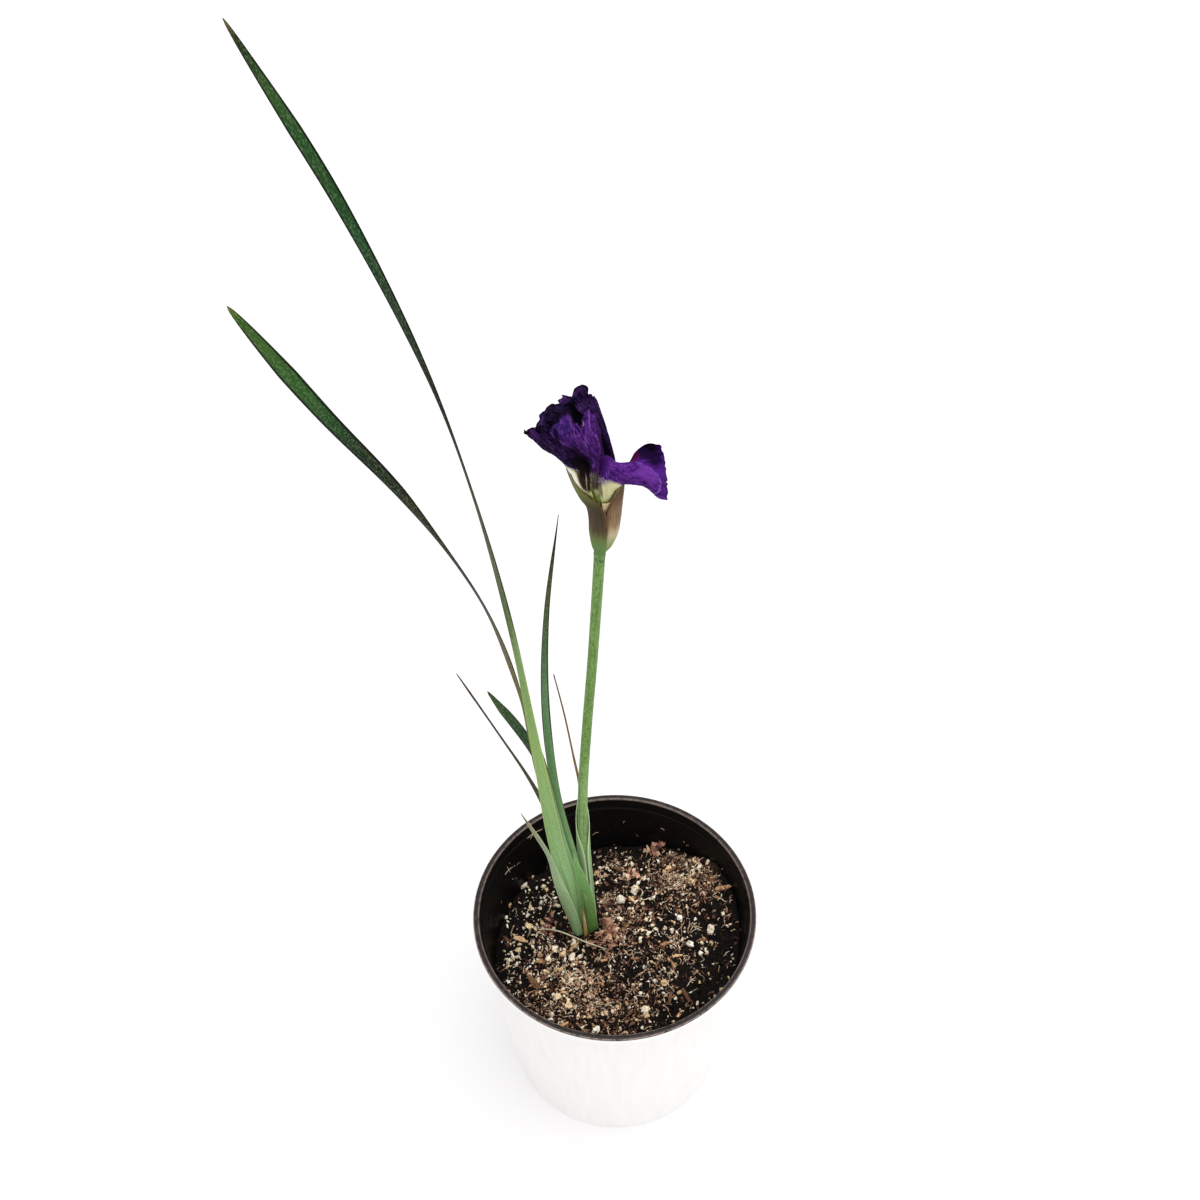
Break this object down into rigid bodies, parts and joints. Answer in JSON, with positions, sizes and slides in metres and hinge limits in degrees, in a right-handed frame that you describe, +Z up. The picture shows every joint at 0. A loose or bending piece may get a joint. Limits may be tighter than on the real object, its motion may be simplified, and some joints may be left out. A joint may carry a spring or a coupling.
{
  "type": "potted siberian iris",
  "caption": "Young Siberian iris with a fan of sword leaves and a half-closed violet bloom on its stem, growing in a round tapered nursery pot of soil.",
  "frame": {"origin": "under the middle of the pot, on the surface that it stands on", "axes": "+Z up along the pot's axis, +X to the right and -Y towards the viewer, seen from the front"},
  "size_m": [0.218, 0.165, 0.6602],
  "materials": {
    "pot_plastic": "satin",
    "potting_mix": "matte",
    "rhizome_bark": "matte",
    "leaf_blade": "satin",
    "leaf_dark": "satin",
    "leaf_brown": "matte",
    "dry_leaf": "matte",
    "stem": "satin",
    "spathe": "satin",
    "petal": "matte",
    "anther": "matte"
  },
  "bodies": {
    "root": {"pot": "pot_plastic", "soil": "potting_mix", "rhizome": "rhizome_bark", "leaf_tall": "leaf_blade", "leaf_second": "leaf_blade", "leaf_middle": "leaf_blade", "leaf_narrow": "leaf_brown", "leaf_short": "leaf_dark", "leaf_outer": "leaf_blade", "fan_sheath": "leaf_blade", "foot_bract": "leaf_blade", "dry_sheath": "dry_leaf", "flower_stem": "stem", "stem_leaf": "leaf_blade", "spathe_outer": "spathe", "spathe_inner": "spathe", "inner_bract": "dry_leaf", "flower_tube": "stem", "fall_right": "petal", "fall_left": "petal", "fall_back": "petal", "standard_front": "petal", "standard_right": "petal", "standard_left": "petal", "style": "petal", "stamen_1": "anther", "stamen_2": "anther", "stamen_3": "anther"}
  },
  "joints": []
}
